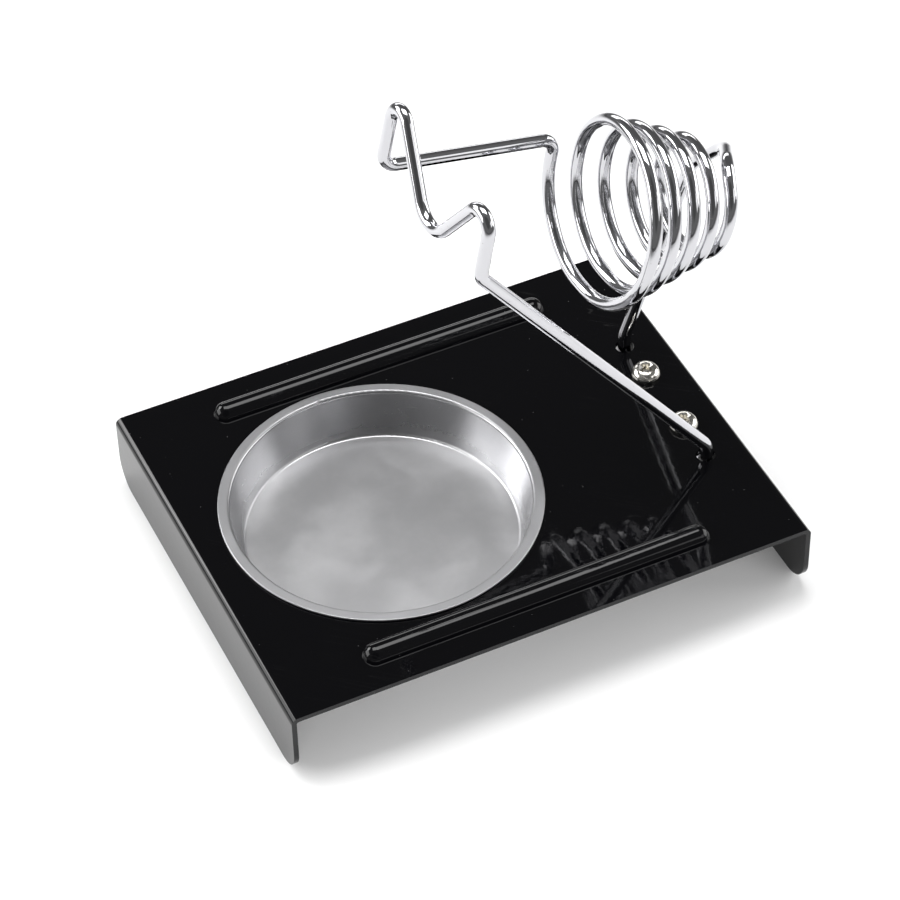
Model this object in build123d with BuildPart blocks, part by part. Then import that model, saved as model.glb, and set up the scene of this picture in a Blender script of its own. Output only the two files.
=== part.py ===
from build123d import *
from math import cos, pi, radians, sin
import os

# Soldering iron stand: a folded steel base with a drop-in steel dish and a bent wire iron holder.
# Millimetres. The base stands on z = 0, +X points to the coil's end and +Y to the back.

# ---- driving dimensions -----------------------------------------------------------------------
base_length = 150.0
base_width = 120.0
base_height = 22.0
sheet = 1.4                    # painted steel sheet
base_x = -4.59                 # the coil overhangs the right end, so the base sits left of the origin
bend_radius = 2.0              # outside radius of the folds over the flanges
flange_corner = 8.0            # rounding of the flanges' lower corners

rib_length = 93.4              # between the centres of the rounded ends
rib_radius = 3.5
rib_sink = 0.5                 # the rib's round centre lies this far below the top face
rib_y = 49.0

dish_x = base_x - 22.5
dish_rim = 43.75               # outer radius of the rim that rests on the base
dish_wall_top = 41.2           # outer radius of the wall under the rim
dish_floor = 37.9              # outer radius where wall and floor would meet
dish_depth = 13.7              # from the base's top face to the dish's underside
dish_sheet = 0.7
dish_gap = 0.8                 # radial gap between the wall and its hole
rim_bend = 0.9                 # bend radii on the outside of the sheet's curve
floor_bend = 1.6

wire = 3.6                     # wire diameter
foot_x = base_x + 63.0         # the feet and the screws stand on one line
foot_y = 24.0
foot_hole = 5.2
foot_hole_shift = 0.4          # the holes are shifted inwards to clear the bends under the plate
screw_y = 11.0

coil_turns = 5
coil_pitch = 7.05
coil_small = 13.2              # radius of the wire's centre line at the narrow end
coil_large = 25.1              # the same at the mouth
coil_tilt = 12.5               # degrees: the mouth looks up
coil_x = base_x + 43.8         # a point on the coil's axis, half a turn before its end
coil_z = base_height + 76.8
corners_per_turn = 8

screw_shank = 3.9
screw_hole = 4.5
screw_length = 12.0
head_radius = 4.0
head_height = 2.8
head_rim = 0.8                 # straight side of the pan head
head_flat = 1.6                # radius of the head's flat top
washer_radius = 6.0
washer_thickness = 1.0
spring_washer_radius = 3.8
spring_washer_thickness = 1.0
nut_flats = 7.0
nut_height = 3.2
nut_bore = 4.0
stack_gap = 0.05               # clearance between stacked pieces

plate_under = base_height - sheet
eyelet_z = plate_under - wire / 2 - stack_gap
washer_top = eyelet_z - wire / 2 - stack_gap
spring_washer_top = washer_top - washer_thickness
nut_top = spring_washer_top - spring_washer_thickness

os.makedirs("parts", exist_ok=True)


def save(part, name):
    part.label = name
    export_step(part, f"parts/{name}.step")


# ---- base plate: a sheet folded down at both ends, with two pressed ribs -------------------------
with BuildPart() as base_plate:
    with BuildSketch(Plane.XZ) as channel:
        with Locations((base_x, base_height / 2)):
            Rectangle(base_length, base_height)
        with Locations((base_x, plate_under / 2)):
            Rectangle(base_length - 2 * sheet, plate_under, mode=Mode.SUBTRACT)
    extrude(amount=base_width / 2, both=True)
    long_edges = base_plate.edges().filter_by(Axis.Y)
    fillet(long_edges.group_by(Axis.Z)[-1], bend_radius)
    inner_folds = base_plate.edges().filter_by(Axis.Y).filter_by_position(
        Axis.Z, plate_under - 0.01, plate_under + 0.01
    )
    fillet(inner_folds.sort_by(Axis.X)[0], bend_radius - sheet)
    inner_folds = base_plate.edges().filter_by(Axis.Y).filter_by_position(
        Axis.Z, plate_under - 0.01, plate_under + 0.01
    )
    fillet(inner_folds.sort_by(Axis.X)[-1], bend_radius - sheet)
    lower_corners = base_plate.edges().filter_by(Axis.X).group_by(Axis.Z)[0]
    fillet(lower_corners, flange_corner)

    # The ribs: round bars with ball ends, cut flush under the sheet, then hollowed from below.
    rib_z = base_height - rib_sink
    with Locations((base_x, -rib_y, rib_z), (base_x, rib_y, rib_z)):
        Cylinder(rib_radius, rib_length, rotation=(0, 90, 0))
    with Locations((base_x, 0, rib_z)):
        with GridLocations(rib_length, 2 * rib_y, 2, 2):
            Sphere(rib_radius)
    with Locations((base_x, -rib_y, plate_under), (base_x, rib_y, plate_under)):
        Box(
            rib_length + 3 * rib_radius,
            3 * rib_radius,
            2 * rib_radius,
            align=(Align.CENTER, Align.CENTER, Align.MAX),
            mode=Mode.SUBTRACT,
        )
    with Locations((base_x, -rib_y, rib_z), (base_x, rib_y, rib_z)):
        Cylinder(rib_radius - sheet, rib_length, rotation=(0, 90, 0), mode=Mode.SUBTRACT)
    with Locations((base_x, 0, rib_z)):
        with GridLocations(rib_length, 2 * rib_y, 2, 2):
            Sphere(rib_radius - sheet, mode=Mode.SUBTRACT)

    # The dish's hole, the screw holes and the holes the wire's feet go through.
    with Locations(Plane.XY.offset(base_height)):
        with Locations((dish_x, 0)):
            Hole(dish_wall_top + dish_gap)
        with Locations((foot_x, -screw_y), (foot_x, screw_y)):
            Hole(screw_hole / 2)
        with Locations((foot_x, -foot_y + foot_hole_shift), (foot_x, foot_y - foot_hole_shift)):
            Hole(foot_hole / 2)
save(base_plate.part, "base_plate")


# ---- solder dish: a shallow spun cup whose rim rests on the base --------------------------------
floor_z = base_height - dish_depth
with BuildPart() as solder_dish:
    with BuildSketch(Plane.XZ) as dish_profile:
        with BuildLine():
            FilletPolyline(
                (0, floor_z),
                (dish_floor, floor_z),
                (dish_wall_top, base_height),
                (dish_rim, base_height),
                radius=(floor_bend, rim_bend - dish_sheet),
            )
            offset(amount=dish_sheet, side=Side.LEFT)
        make_face()
    revolve(axis=Axis.Z)
    rim_edges = solder_dish.edges().filter_by(GeomType.CIRCLE).sort_by(SortBy.RADIUS)[-2:]
    fillet(rim_edges, dish_sheet * 0.45)
solder_dish.part.locate(Location((dish_x, 0, 0)))
save(solder_dish.part, "solder_dish")


# ---- wire holder: one wire from eyelet to eyelet -------------------------------------------------
coil_axis = Vector(-cos(radians(coil_tilt)), 0, sin(radians(coil_tilt)))
coil_up = Vector(sin(radians(coil_tilt)), 0, cos(radians(coil_tilt)))
coil_origin = Vector(coil_x, 0, coil_z)


def on_coil(along, back, up):
    """A point given along the coil's axis, towards the back and square to both."""
    return coil_origin + coil_axis * along + Vector(0, back, 0) + coil_up * up


def coil_radius(turn):
    return coil_small + (coil_large - coil_small) * turn / coil_turns


def coil_corner(turn):
    """A corner of the polygon that the rounded coil is drawn in."""
    reach = coil_radius(turn) / cos(pi / corners_per_turn)
    angle = 2 * pi * turn
    along = coil_pitch * (turn - coil_turns + 0.5)
    return on_coil(along, reach * cos(angle), reach * sin(angle))


def eyelet(side):
    """Corners of the hook round a screw and of the run to the foot, from the free end on."""
    loop = wire / 2 + screw_shank / 2 + 0.6
    points = [
        (foot_x - loop, screw_y + 1.0),
        (foot_x - loop, screw_y - loop),
        (foot_x + loop, screw_y - loop),
        (foot_x + loop, screw_y + loop),
        (foot_x, screw_y + 1.7 * loop),
        (foot_x, foot_y),
    ]
    return [Vector(x, side * y, eyelet_z) for x, y in points]


eyelet_bends = [4.1, 4.1, 3.4, 3.4, 3.0]
rear_foot = [(Vector(foot_x, foot_y, base_height + 4.5), 6.0)]
leg_top = [(on_coil(-38.3, 20.5, -6.0), 11.0), (on_coil(-38.0, 8.0, 9.3), 12.0)]

first_corner = 2.5 / corners_per_turn
first_bend = 9.8               # tighter than the coil, where the leg runs into it
corner_count = coil_turns * corners_per_turn - 2
coil = []
for index in range(corner_count):
    turn = first_corner + index / corners_per_turn
    bend = first_bend if index == 0 else 0.92 * coil_radius(turn)
    coil.append((coil_corner(turn), bend))

upper_arm = [(on_coil(3.5, coil_large, 5.2), 4.0), (on_coil(53.6, 25.3, 3.7), 4.0)]
rest = [
    (on_coil(53.6, 25.5, 31.0), 4.3),
    (on_coil(52.3, -1.5, -0.6), 8.0),
    (on_coil(51.0, -24.3, 31.8), 4.3),
    (on_coil(50.0, -24.4, 5.6), 4.0),
]
front_foot = [(Vector(foot_x, -foot_y, base_height + 4.0), 6.0)]

rear_eyelet = list(zip(eyelet(1)[1:], eyelet_bends))
front_eyelet = list(zip(reversed(eyelet(-1)[1:]), reversed(eyelet_bends)))
bends = rear_eyelet + rear_foot + leg_top + coil + upper_arm + rest + front_foot + front_eyelet
wire_corners = [eyelet(1)[0]] + [point for point, radius in bends] + [eyelet(-1)[0]]
wire_radii = [radius for point, radius in bends]

with BuildPart() as wire_holder:
    with BuildLine() as wire_path:
        FilletPolyline(*wire_corners, radius=wire_radii)
    with BuildSketch(Plane(origin=wire_path.line @ 0, z_dir=wire_path.line % 0)):
        Circle(wire / 2)
    sweep()
save(wire_holder.part, "wire_holder")


# ---- fasteners: pan-head screw, flat washer, spring washer and hex nut for each eyelet ------------
recess_depth = 1.7
recess_width = 1.25
recess_reach = 4.9             # across the wings at the top
recess_tip = 1.8               # across the wings at the bottom
for name, side in (("rear", 1), ("front", -1)):
    place = (foot_x, side * screw_y)

    with BuildPart() as screw:
        with BuildSketch(Plane.XZ) as screw_profile:
            with BuildLine():
                Polyline(
                    (0, head_height),
                    (0, -screw_length),
                    (screw_shank / 2 - 0.4, -screw_length),
                    (screw_shank / 2, -screw_length + 0.4),
                    (screw_shank / 2, 0),
                    (head_radius, 0),
                    (head_radius, head_rim),
                )
                ThreePointArc(
                    (head_radius, head_rim),
                    (0.83 * head_radius, 0.77 * head_height),
                    (head_flat, head_height),
                )
                Line((head_flat, head_height), (0, head_height))
            make_face()
        revolve(axis=Axis.Z)
        for turn in (20, 110):
            with BuildSketch(Plane.XZ.rotated((0, 0, turn))) as recess_wing:
                with BuildLine():
                    Polyline(
                        (-recess_reach / 2, head_height + 0.5),
                        (recess_reach / 2, head_height + 0.5),
                        (recess_tip / 2, head_height - recess_depth),
                        (-recess_tip / 2, head_height - recess_depth),
                        close=True,
                    )
                make_face()
            extrude(amount=recess_width / 2, both=True, mode=Mode.SUBTRACT)
    screw.part.locate(Location((*place, base_height)))
    save(screw.part, f"screw_{name}")

    with BuildPart() as flat_washer:
        with BuildSketch(Plane.XY.offset(washer_top)):
            with Locations(place):
                Circle(washer_radius)
                Circle(screw_hole / 2, mode=Mode.SUBTRACT)
        extrude(amount=-washer_thickness)
        chamfer(flat_washer.edges().group_by(Axis.Z)[0], 0.15)
    save(flat_washer.part, f"flat_washer_{name}")

    with BuildPart() as spring_washer:
        with BuildSketch(Plane.XY.offset(spring_washer_top)):
            with Locations(place):
                Circle(spring_washer_radius)
                Circle(screw_hole / 2, mode=Mode.SUBTRACT)
            with Locations((place[0] + spring_washer_radius, place[1])):
                Rectangle(spring_washer_radius, 0.6, rotation=25, mode=Mode.SUBTRACT)
        extrude(amount=-spring_washer_thickness + stack_gap)
    save(spring_washer.part, f"spring_washer_{name}")

    with BuildPart() as hex_nut:
        with BuildSketch(Plane.XY.offset(nut_top)):
            with Locations(place):
                RegularPolygon(nut_flats / 2, 6, major_radius=False)
                Circle(nut_bore / 2, mode=Mode.SUBTRACT)
        extrude(amount=-nut_height)
        corner_start = 0.47 * nut_flats
        corner_reach = 0.6 * nut_flats
        for face, inward in ((nut_top, -0.9), (nut_top - nut_height, 0.9)):
            with BuildSketch(Plane.XZ.offset(-place[1])) as corner_rounding:
                with BuildLine():
                    Polyline(
                        (place[0] + corner_start, face),
                        (place[0] + corner_reach, face + inward),
                        (place[0] + corner_reach, face),
                        close=True,
                    )
                make_face()
            revolve(axis=Axis((*place, 0), (0, 0, 1)), mode=Mode.SUBTRACT)
    save(hex_nut.part, f"hex_nut_{name}")
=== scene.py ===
from math import cos, pi, radians, sin

import bpy
from mathutils import Matrix, Vector


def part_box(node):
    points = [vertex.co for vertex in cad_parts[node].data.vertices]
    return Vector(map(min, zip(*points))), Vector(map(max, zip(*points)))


# A bench stand for a soldering iron: a folded and painted steel base, a loose steel dish and a
# chromed wire bent into a coil and a rest. Everything below is in metres.
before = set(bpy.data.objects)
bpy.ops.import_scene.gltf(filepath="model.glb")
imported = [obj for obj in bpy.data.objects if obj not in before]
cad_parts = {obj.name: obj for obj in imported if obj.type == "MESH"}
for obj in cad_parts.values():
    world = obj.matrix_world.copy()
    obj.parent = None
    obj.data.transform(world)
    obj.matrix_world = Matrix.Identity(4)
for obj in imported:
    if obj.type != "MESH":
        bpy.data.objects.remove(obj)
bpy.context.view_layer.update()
bpy.ops.object.select_all(action="DESELECT")


# ---- Camera: three-quarter view from the front left, looking down on the base ---------------------
# A long lens far away, a little tilted, aimed just behind the middle of the base's top.
view_azimuth = radians(-24.534)
view_elevation = radians(45.426)
view_roll = radians(-1.35)
view_distance = 0.94925
lens_length = 140.35           # millimetres, on a sensor 36 wide
aim_right = 0.0020             # from the middle of the base
aim_back = 0.0087
aim_height = 0.0220            # the base's top face

base_low, base_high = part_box("base_plate")
base_middle = (base_low + base_high) / 2
aim = Vector((base_middle.x + aim_right, base_middle.y + aim_back, aim_height))
toward_object = Vector((
    -sin(view_azimuth) * cos(view_elevation),
    cos(view_azimuth) * cos(view_elevation),
    -sin(view_elevation),
))
bpy.ops.object.camera_add()
camera = bpy.context.object
camera.data.sensor_width = 36
camera.data.lens = lens_length
camera.matrix_world = (
    Matrix.Translation(aim - toward_object * view_distance)
    @ Matrix.Rotation(view_azimuth, 4, "Z")
    @ Matrix.Rotation(pi / 2 - view_elevation, 4, "X")
    @ Matrix.Rotation(view_roll, 4, "Z")
)
bpy.context.scene.camera = camera
bpy.context.scene.view_settings.view_transform = "Standard"


# ---- Studio: a white bench top in a dim room, lit by soft boxes ------------------------------------
# One box hangs overhead and five stand lower around the bench, the smallest and brightest at the
# back left. The two fills light the bench top and stay out of the reflections. The room is darkest
# behind the stand on the right and on the viewer's side, and the bench top's colour is painted greyer
# away from the stand: painted shade for the light falling off.
floor_size = 6.0
floor_drop = 0.0002            # keeps the bench top just clear of the feet
# Painted shade: the bench top's colour greys with distance from the stand, standing in for the light
# falling off.
pale_radius = 0.26             # the bench top is palest up to here
painted_shade_radius = 0.80             # and evenly grey from here on
pale_level = 0.93
painted_shade_level = 0.35
room_level = 0.20
boxes_face = Vector((0, 0, 0.03))


def coordinates(tree):
    """The piece's own coordinates, in metres."""
    return tree.nodes.new("ShaderNodeTexCoord").outputs["Object"]


def ramp(tree, value, low, high, low_out=0.0, high_out=1.0):
    """Value eased from low_out at low to high_out at high."""
    node = tree.nodes.new("ShaderNodeMapRange")
    node.interpolation_type = "SMOOTHSTEP"
    node.inputs["From Min"].default_value = low
    node.inputs["From Max"].default_value = high
    node.inputs["To Min"].default_value = low_out
    node.inputs["To Max"].default_value = high_out
    tree.links.new(value, node.inputs["Value"])
    return node.outputs["Result"]


def combine(tree, operation, first, second=0.0):
    """One step of arithmetic on two values, each a number or another node's output."""
    node = tree.nodes.new("ShaderNodeMath")
    node.operation = operation
    for socket, value in zip(node.inputs, (first, second)):
        if isinstance(value, (int, float)):
            socket.default_value = value
        else:
            tree.links.new(value, socket)
    return node.outputs["Value"]


bpy.ops.mesh.primitive_plane_add(size=floor_size, location=(0, 0, -floor_drop))
floor = bpy.context.object
floor.name = "bench_top"
floor_paint = bpy.data.materials.new("bench_white")
floor_paint.use_nodes = True
tree = floor_paint.node_tree
shader = tree.nodes["Principled BSDF"]
shader.inputs["Roughness"].default_value = 0.8
shader.inputs["Specular IOR Level"].default_value = 0.1
distance = tree.nodes.new("ShaderNodeVectorMath")
distance.operation = "LENGTH"
tree.links.new(coordinates(tree), distance.inputs[0])
# Painted shade: the bench top's colour darkens away from the stand.
painted_falloff = ramp(
    tree, distance.outputs["Value"], pale_radius, painted_shade_radius, pale_level, painted_shade_level
)
tree.links.new(painted_falloff, shader.inputs["Base Color"])
floor.data.materials.append(floor_paint)

soft_boxes = (
    # name, middle, width, height, radiance, seen in reflections
    ("overhead", (0.08, 0.22, 1.00), 0.72, 0.46, 6.4, True),
    ("left", (-0.85, 0.38, 0.42), 0.80, 0.50, 4.5, True),
    ("right", (0.90, -0.12, 0.36), 0.80, 0.50, 4.0, True),
    ("front_right", (0.52, -0.66, 0.54), 0.40, 0.34, 1.5, True),
    ("back", (0.36, 1.12, 0.38), 1.00, 0.26, 3.0, True),
    ("left_back", (-0.46, 0.66, 0.54), 0.34, 0.34, 9.0, True),
    ("fill_front", (0.0, -0.90, 0.28), 1.60, 0.50, 4.2, False),
    ("fill_left", (-0.90, 0.10, 0.26), 1.00, 0.50, 0.9, False),
)
for name, middle, width, tall, radiance, reflected in soft_boxes:
    facing = boxes_face - Vector(middle)
    bpy.ops.object.light_add(
        type="AREA", location=middle, rotation=facing.to_track_quat("-Z", "Y").to_euler()
    )
    box = bpy.context.object
    box.name = f"soft_box_{name}"
    box.data.shape = "RECTANGLE"
    box.data.size = width
    box.data.size_y = tall
    box.data.energy = radiance * pi * width * tall
    box.visible_camera = False
    box.visible_glossy = reflected

room = bpy.data.worlds.new("room")
bpy.context.scene.world = room
room.use_nodes = True
tree = room.node_tree
room_light = tree.nodes["Background"]
room_light.inputs["Color"].default_value = (1.0, 1.0, 1.0, 1)
direction = tree.nodes.new("ShaderNodeTexCoord")
dark_spots = (
    # direction, degrees off it where it begins and where it is darkest, darkness there
    ((0.45, 0.62, 0.55), 38, 27, 0.3),
    ((-0.29, -0.64, 0.71), 34, 22, 0.5),
)
brightness = room_level
for toward, outer, inner, darkness in dark_spots:
    closeness = tree.nodes.new("ShaderNodeVectorMath")
    closeness.operation = "DOT_PRODUCT"
    closeness.inputs[1].default_value = Vector(toward).normalized()
    tree.links.new(direction.outputs["Generated"], closeness.inputs[0])
    outer_edge = cos(radians(outer))
    inner_edge = cos(radians(inner))
    light_left = ramp(
        tree, closeness.outputs["Value"], outer_edge, inner_edge, 1.0, 1.0 - darkness
    )
    brightness = combine(tree, "MULTIPLY", brightness, light_left)
tree.links.new(brightness, room_light.inputs["Strength"])


# ---- Base: 1.4 mm steel folded down at both ends, with two pressed ribs ---------------------------
# Gloss black stove enamel: nearly a mirror, with a faint orange peel, dull smudges, a few specks of
# dust and the odd hair scratch.
black_enamel = (0.0012, 0.0012, 0.0017, 1)
enamel_dirt = (0.07, 0.07, 0.07, 1)
enamel_ior = 1.36
enamel_rough = 0.035
enamel_peel = 0.00001          # height of the orange peel


def noise(tree, vector, scale, detail=2.0, roughness=0.5):
    """Cloudy noise between 0 and 1."""
    node = tree.nodes.new("ShaderNodeTexNoise")
    node.inputs["Scale"].default_value = scale
    node.inputs["Detail"].default_value = detail
    node.inputs["Roughness"].default_value = roughness
    tree.links.new(vector, node.inputs["Vector"])
    return node.outputs["Fac"]


def add_share(tree, total, value, share):
    """Total plus a share of value."""
    return combine(tree, "ADD", total, combine(tree, "MULTIPLY", value, share))


def blend_colour(tree, mask, low_colour, high_colour):
    """Low_colour where the mask is 0 and high_colour where it is 1."""
    node = tree.nodes.new("ShaderNodeMix")
    node.data_type = "RGBA"
    tree.links.new(mask, node.inputs["Factor"])
    for name, colour in (("A", low_colour), ("B", high_colour)):
        socket = [s for s in node.inputs if s.name == name and s.type == "RGBA"][0]
        if isinstance(colour, tuple):
            socket.default_value = colour
        else:
            tree.links.new(colour, socket)
    return [s for s in node.outputs if s.type == "RGBA"][0]


def bump(tree, height, distance):
    """A normal tilted by a height that is worth distance from 0 to 1."""
    node = tree.nodes.new("ShaderNodeBump")
    node.inputs["Distance"].default_value = distance
    node.inputs["Strength"].default_value = 1.0
    tree.links.new(height, node.inputs["Height"])
    return node.outputs["Normal"]


def new_group(name, inputs, output):
    """A shader node group with a vector, named numbers at their first values and one output.

    Gives the group, the sockets that its inputs come in by and the socket of its output.
    """
    group = bpy.data.node_groups.new(name, "ShaderNodeTree")
    group.interface.new_socket("Vector", in_out="INPUT", socket_type="NodeSocketVector")
    for label, value in inputs:
        socket = group.interface.new_socket(label, in_out="INPUT", socket_type="NodeSocketFloat")
        socket.default_value = value
    group.interface.new_socket(output, in_out="OUTPUT", socket_type="NodeSocketFloat")
    entry = group.nodes.new("NodeGroupInput")
    result = group.nodes.new("NodeGroupOutput")
    return group, entry.outputs, result.inputs[output]


def place_group(tree, group, vector, **values):
    """The output of a group placed in the tree and set to the given values."""
    node = tree.nodes.new("ShaderNodeGroup")
    node.node_tree = group
    tree.links.new(vector, node.inputs["Vector"])
    for label, value in values.items():
        node.inputs[label].default_value = value
    return node.outputs[0]


def new_material(name, metallic):
    """A node material, its tree, its Principled shader and the piece's own coordinates."""
    material = bpy.data.materials.new(name)
    material.use_nodes = True
    shader = material.node_tree.nodes["Principled BSDF"]
    shader.inputs["Metallic"].default_value = metallic
    return material, material.node_tree, shader, coordinates(material.node_tree)


def dress(node, material):
    """Give a CAD piece one material."""
    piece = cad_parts[node]
    piece.data.materials.clear()
    piece.data.materials.append(material)


# Handling: dull smudges of a few millimetres, with finer grease inside them.
handling, given, smudge_out = new_group("handling", [("Size", 90.0), ("Cover", 0.5)], "Smudge")
patch = handling.nodes.new("ShaderNodeTexNoise")
patch.inputs["Detail"].default_value = 3
patch.inputs["Distortion"].default_value = 0.6
handling.links.new(given["Vector"], patch.inputs["Vector"])
handling.links.new(given["Size"], patch.inputs["Scale"])
grease = noise(handling, given["Vector"], 900, 3)
inside = combine(handling, "SUBTRACT", patch.outputs["Fac"], given["Cover"])
soft_patch = ramp(handling, inside, 0.0, 0.22)
handling.links.new(combine(handling, "MULTIPLY", soft_patch, grease), smudge_out)

# Dust: pale specks well under a millimetre, thin on the ground.
dust, given, speck_out = new_group("dust", [("Grain", 1600.0), ("Amount", 0.06)], "Speck")
cells = dust.nodes.new("ShaderNodeTexVoronoi")
cells.feature = "F1"
dust.links.new(given["Vector"], cells.inputs["Vector"])
dust.links.new(given["Grain"], cells.inputs["Scale"])
tint = dust.nodes.new("ShaderNodeSeparateColor")
dust.links.new(cells.outputs["Color"], tint.inputs["Color"])
chosen = combine(dust, "LESS_THAN", tint.outputs["Red"], given["Amount"])
near_middle = ramp(dust, cells.outputs["Distance"], 0.10, 0.26, 1.0, 0.0)
dust.links.new(combine(dust, "MULTIPLY", chosen, near_middle), speck_out)

# Scratches: thin lines where a stretched noise crosses one value.
scratches, given, line_out = new_group("scratches", [("Turn", 0.5), ("Width", 0.012)], "Line")
turned = scratches.nodes.new("ShaderNodeVectorRotate")
turned.rotation_type = "Z_AXIS"
scratches.links.new(given["Vector"], turned.inputs["Vector"])
scratches.links.new(given["Turn"], turned.inputs["Angle"])
stretched = scratches.nodes.new("ShaderNodeMapping")
stretched.inputs["Scale"].default_value = (12, 420, 420)
scratches.links.new(turned.outputs["Vector"], stretched.inputs["Vector"])
field = noise(scratches, stretched.outputs["Vector"], 1.0, 0)
off_line = combine(scratches, "ABSOLUTE", combine(scratches, "SUBTRACT", field, 0.5))
on_line = combine(scratches, "LESS_THAN", off_line, given["Width"])
gaps = ramp(scratches, noise(scratches, given["Vector"], 55, 1), 0.54, 0.62)
scratches.links.new(combine(scratches, "MULTIPLY", on_line, gaps), line_out)

enamel, tree, shader, place = new_material("gloss_black_enamel", 0.0)
shader.inputs["IOR"].default_value = enamel_ior
smudge = place_group(tree, handling, place, Size=70.0, Cover=0.50)
speck = place_group(tree, dust, place, Grain=1500.0, Amount=0.006)
hair = place_group(tree, scratches, place, Turn=0.7, Width=0.003)
dirt = combine(tree, "MAXIMUM", speck, combine(tree, "MULTIPLY", hair, 0.12))
colour = blend_colour(tree, dirt, black_enamel, enamel_dirt)
tree.links.new(colour, shader.inputs["Base Color"])
rough = add_share(tree, enamel_rough, smudge, 0.10)
rough = add_share(tree, rough, dirt, 0.35)
tree.links.new(rough, shader.inputs["Roughness"])
fine_peel = noise(tree, place, 420, 2)
broad_peel = noise(tree, place, 120, 1)
orange_peel = add_share(tree, fine_peel, broad_peel, 1.6)
tree.links.new(bump(tree, orange_peel, enamel_peel), shader.inputs["Normal"])
dress("base_plate", enamel)


# ---- Dish: spun from thin stainless sheet, lying loose in the base's hole -------------------------
# A satin, slightly mottled floor, smoother walls with the fine rings of the spinning tool and a
# duller rim whose colour is darkened as painted shade. It lifts straight out, so it has a body of its
# own.
steel_pale = (0.53, 0.53, 0.54, 1)
steel_deep = (0.45, 0.45, 0.46, 1)
steel_rim_painted_shade = (0.38, 0.38, 0.39, 1)
wall_from, wall_full = 0.0368, 0.0386      # distances from the dish's axis
rim_from, rim_full = 0.0403, 0.0411
floor_rough = 0.36
wall_smoother = 0.18           # taken off the roughness
rim_rougher = 0.16             # and put on again
ring_height = 0.000004

dish_low, dish_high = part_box("solder_dish")
dish_middle = (dish_low + dish_high) / 2
satin_steel, tree, shader, place = new_material("spun_satin_steel", 1.0)
centred = tree.nodes.new("ShaderNodeMapping")
centred.inputs["Location"].default_value = (-dish_middle.x, -dish_middle.y, 0)
tree.links.new(place, centred.inputs["Vector"])
split = tree.nodes.new("ShaderNodeSeparateXYZ")
tree.links.new(centred.outputs["Vector"], split.inputs["Vector"])
across, along, up = split.outputs
across_squared = combine(tree, "MULTIPLY", across, across)
along_squared = combine(tree, "MULTIPLY", along, along)
radius = combine(tree, "SQRT", combine(tree, "ADD", across_squared, along_squared))
on_wall = ramp(tree, radius, wall_from, wall_full)
on_rim = ramp(tree, radius, rim_from, rim_full)
ring_place = tree.nodes.new("ShaderNodeCombineXYZ")
tree.links.new(combine(tree, "SUBTRACT", radius, up), ring_place.inputs["X"])
rings = noise(tree, ring_place.outputs["Vector"], 2600, 3, 0.6)
rings = combine(tree, "MULTIPLY", rings, on_wall)
mottle = noise(tree, place, 60, 4, 0.6)
smudge = place_group(tree, handling, place, Size=55.0, Cover=0.46)
line = place_group(tree, scratches, place, Turn=2.1, Width=0.02)
shade = add_share(tree, combine(tree, "MULTIPLY", mottle, 0.8), rings, 0.3)
colour = blend_colour(tree, ramp(tree, shade, 0.25, 0.65), steel_deep, steel_pale)
# Painted shade: the rim's colour is darker than the rest of the same steel.
colour = blend_colour(tree, on_rim, colour, steel_rim_painted_shade)
tree.links.new(colour, shader.inputs["Base Color"])
rough = add_share(tree, floor_rough, on_wall, -wall_smoother)
rough = add_share(tree, rough, on_rim, rim_rougher)
rough = add_share(tree, rough, rings, 0.08)
rough = add_share(tree, rough, smudge, 0.08)
tree.links.new(rough, shader.inputs["Roughness"])
height = add_share(tree, rings, line, -0.6)
tree.links.new(bump(tree, height, ring_height), shader.inputs["Normal"])
dress("solder_dish", satin_steel)


# ---- Wire holder: one 3.6 mm spring wire, bent cold and chromed -----------------------------------
# Its ends pass through the sheet and hook round the two screws. The plating over the drawn wire is
# bright: a mirror, with a faint ripple, smudges and tiny dull pits.
chrome_bright = (0.52, 0.52, 0.54, 1)
chrome_pit = (0.28, 0.27, 0.26, 1)
chrome_rough = 0.05
chrome_ripple = 0.000008

chrome, tree, shader, place = new_material("bright_chrome", 1.0)
smudge = place_group(tree, handling, place, Size=120.0, Cover=0.48)
speck = place_group(tree, dust, place, Grain=1500.0, Amount=0.05)
colour = blend_colour(tree, speck, chrome_bright, chrome_pit)
tree.links.new(colour, shader.inputs["Base Color"])
rough = add_share(tree, chrome_rough, smudge, 0.12)
rough = add_share(tree, rough, speck, 0.3)
tree.links.new(rough, shader.inputs["Roughness"])
ripple = noise(tree, place, 500, 3)
tree.links.new(bump(tree, ripple, chrome_ripple), shader.inputs["Normal"])
dress("wire_holder", chrome)


# ---- Fasteners: two pan-head screws, each with two washers and a nut under the sheet --------------
# They clamp the wire's two ends against the sheet. The nickel plating is bright, but duller and
# warmer than the chrome, with specks and fine scratches.
nickel_bright = (0.74, 0.72, 0.67, 1)
nickel_mark = (0.40, 0.38, 0.35, 1)
nickel_rough = 0.14
nickel_ripple = 0.000006

nickel, tree, shader, place = new_material("nickel_plate", 1.0)
smudge = place_group(tree, handling, place, Size=260.0, Cover=0.45)
speck = place_group(tree, dust, place, Grain=2600.0, Amount=0.12)
line = place_group(tree, scratches, place, Turn=1.2, Width=0.02)
mark = combine(tree, "MAXIMUM", speck, line)
colour = blend_colour(tree, mark, nickel_bright, nickel_mark)
tree.links.new(colour, shader.inputs["Base Color"])
rough = add_share(tree, nickel_rough, smudge, 0.18)
tree.links.new(rough, shader.inputs["Roughness"])
ripple = noise(tree, place, 900, 2)
tree.links.new(bump(tree, ripple, nickel_ripple), shader.inputs["Normal"])
for side in ("rear", "front"):
    for kind in ("screw", "flat_washer", "spring_washer", "hex_nut"):
        dress(f"{kind}_{side}", nickel)
